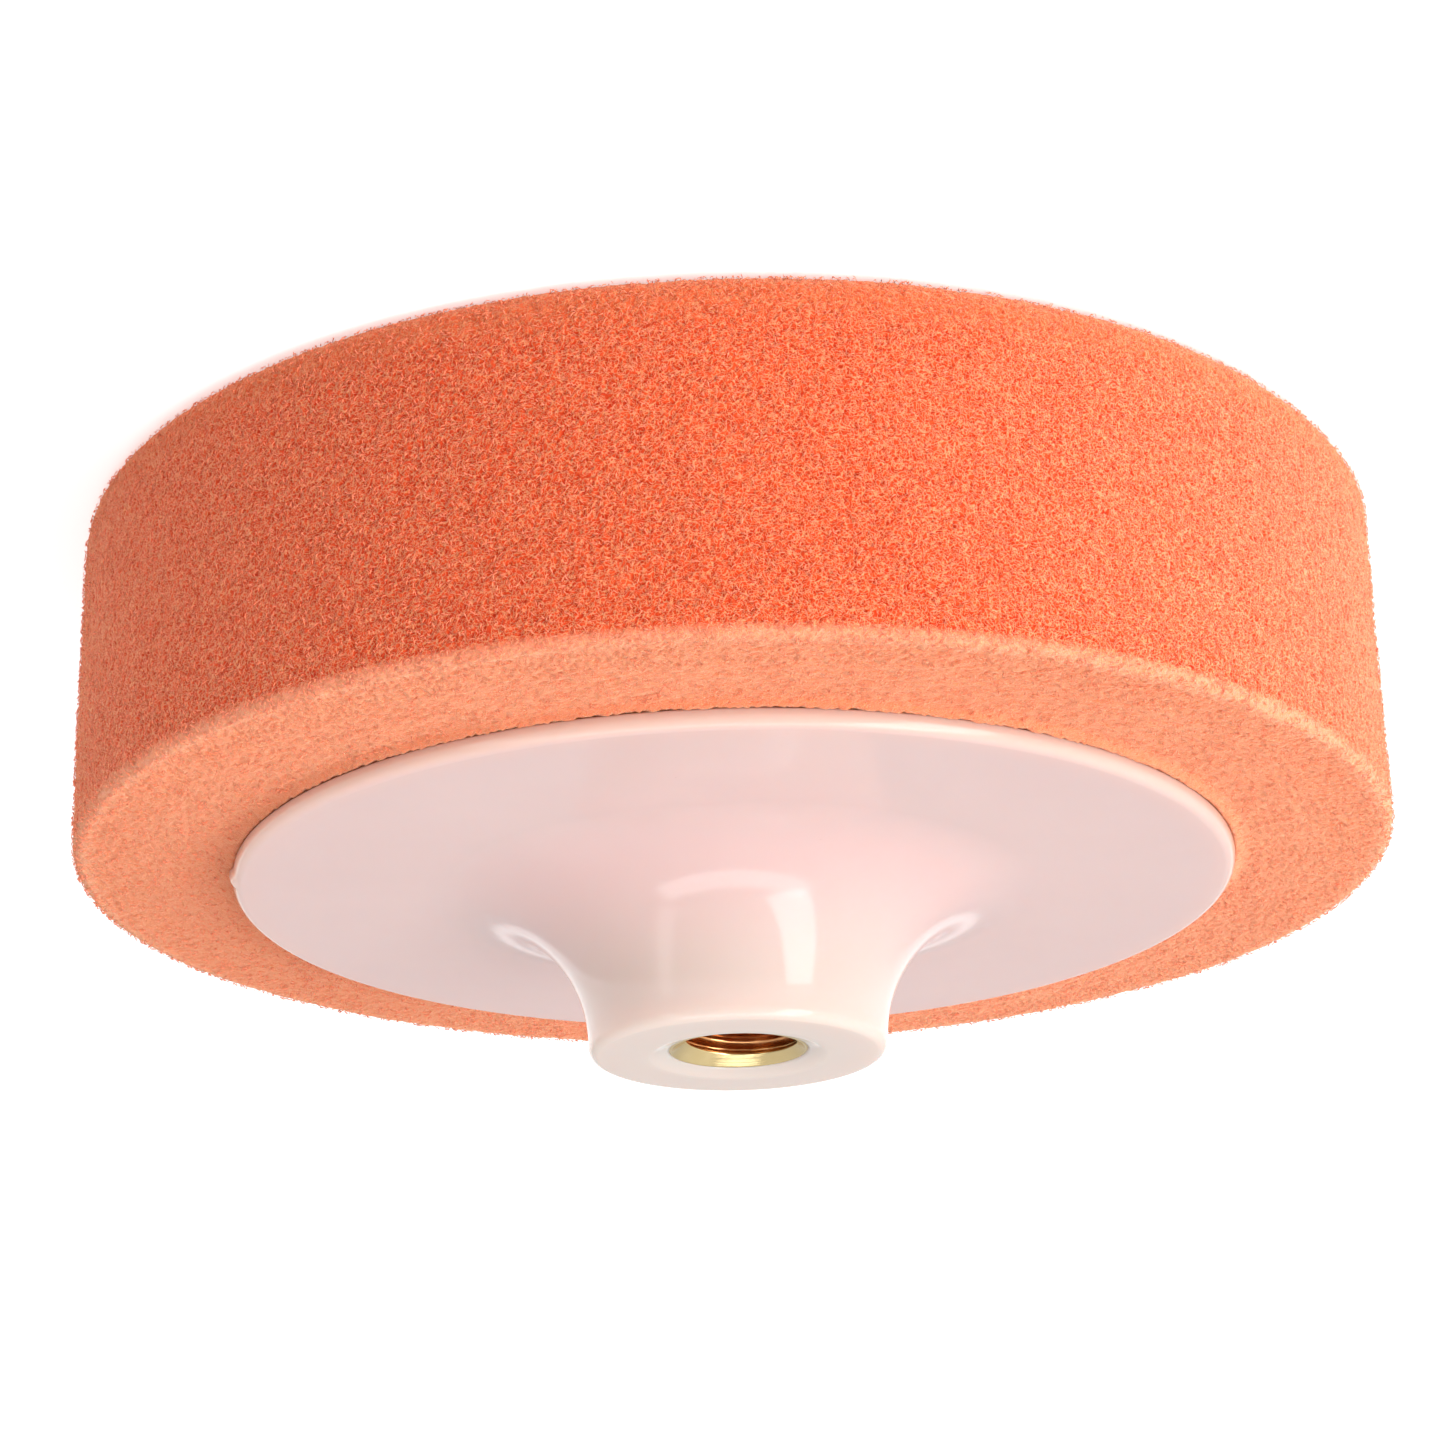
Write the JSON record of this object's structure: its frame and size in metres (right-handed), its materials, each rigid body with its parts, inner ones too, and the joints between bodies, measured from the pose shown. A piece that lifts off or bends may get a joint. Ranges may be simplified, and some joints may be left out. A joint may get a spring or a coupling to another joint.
{
  "type": "foam polishing pad",
  "caption": "Foam disc polishing pad on a glued plastic backing plate whose flared central hub carries a threaded brass insert.",
  "frame": {"origin": "centre of the foam's working face", "axes": "+Z along the spin axis, from the working face to the hub; the thread's mouth opens towards +Z"},
  "size_m": [0.15, 0.15, 0.06],
  "materials": {
    "foam": "matte",
    "glue": "matte",
    "moulded_plastic": "gloss",
    "brass": "satin"
  },
  "bodies": {
    "foam": {"foam_pad": "foam"},
    "backing": {"glue_layer": "glue", "backing_plate": "moulded_plastic", "threaded_insert": "brass"}
  },
  "joints": [
    {"name": "foam_compression", "type": "slide", "parent": "foam", "child": "backing", "axis": [0, 0, -1], "range_m": [0, 0.012], "stiffness_N_per_m": 6000, "deforming": ["foam_pad"]}
  ]
}
